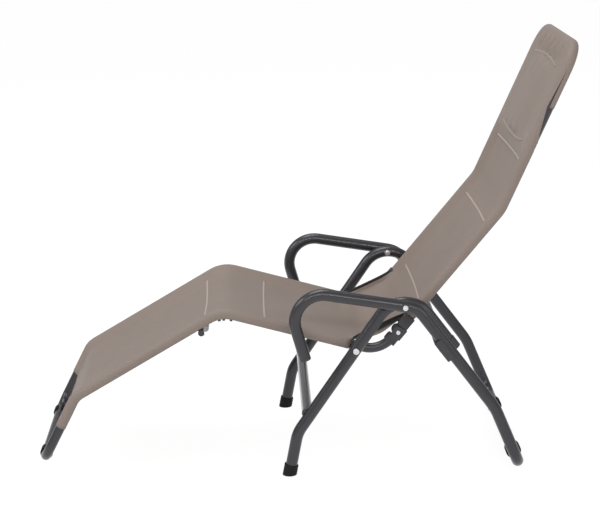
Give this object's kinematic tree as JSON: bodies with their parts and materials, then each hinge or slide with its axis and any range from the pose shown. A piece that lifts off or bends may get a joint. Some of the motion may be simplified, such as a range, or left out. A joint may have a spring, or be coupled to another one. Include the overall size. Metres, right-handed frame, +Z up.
{
  "type": "tilting sun lounger",
  "caption": "Sun lounger with a fabric sling on bent tube rails that tilts on pivots in a crossed tube base with open armrests; the backrest folds forward.",
  "frame": {"origin": "on the floor under the middle of the overall length and width", "axes": "+X towards the head end along the length, +Z up, +Y to the sitter's right"},
  "size_m": [1.3823, 0.616, 1.0905],
  "materials": {
    "frame": "dark anthracite powder coat, semi-gloss",
    "sleeve_steel": "plain drawn steel",
    "fastener": "bright zinc plate",
    "rubber": "black, matt",
    "plastic": "black, fine texture",
    "cloth": "taupe coated mesh weave",
    "binding": "dark woven tape",
    "pad_cloth": "taupe coated mesh weave, padded"
  },
  "bodies": {
    "rear_frame": {"rear_frame_tube_left": "frame", "rear_frame_tube_right": "frame", "rear_frame_splice": "sleeve_steel", "splice_rivets": "fastener", "arm_end_plugs": "plastic", "floor_pads": "rubber", "leg_saddle_left": "plastic", "leg_saddle_right": "plastic", "saddle_screws": "fastener", "base_pivot_cups": "plastic", "base_pivot_spacers": "plastic", "base_pivot_bolts": "fastener", "base_pivot_washers": "fastener", "base_pivot_nuts": "fastener"},
    "front_frame": {"front_leg_tube_left": "frame", "front_leg_tube_right": "frame", "front_cross_tube": "frame", "stop_bow": "frame", "front_feet": "rubber", "extension_caps": "plastic"},
    "seat_frame": {"seat_frame_tube": "frame", "knee_bar": "frame", "knee_bar_plugs": "plastic", "knee_bar_screws": "fastener", "foot_glides": "rubber", "tilt_pivot_rivets": "fastener", "tilt_pivot_spacers": "plastic", "hinge_seat_left": "plastic", "hinge_seat_right": "plastic", "hinge_screws": "fastener", "hinge_nuts": "fastener", "sling_seat": "cloth", "seat_edge_binding": "binding"},
    "back_frame": {"back_frame_tube": "frame", "hinge_back_left": "plastic", "hinge_back_right": "plastic", "sling_back": "cloth", "back_edge_binding": "binding", "head_pad": "pad_cloth"}
  },
  "joints": [
    {"name": "base_fold", "type": "hinge", "parent": "rear_frame", "child": "front_frame", "pos_m": [0.25133, 0, 0.4515], "axis": [0, -1, 0], "range_deg": [0, 60]},
    {"name": "lounger_tilt", "type": "hinge", "parent": "front_frame", "child": "seat_frame", "pos_m": [0.13007, 0, 0.33068], "axis": [0, 1, 0], "range_deg": [-1.6, 15]},
    {"name": "backrest_fold", "type": "hinge", "parent": "seat_frame", "child": "back_frame", "pos_m": [0.23928, 0, 0.36599], "axis": [0, -1, 0], "range_deg": [0, 110]}
  ]
}
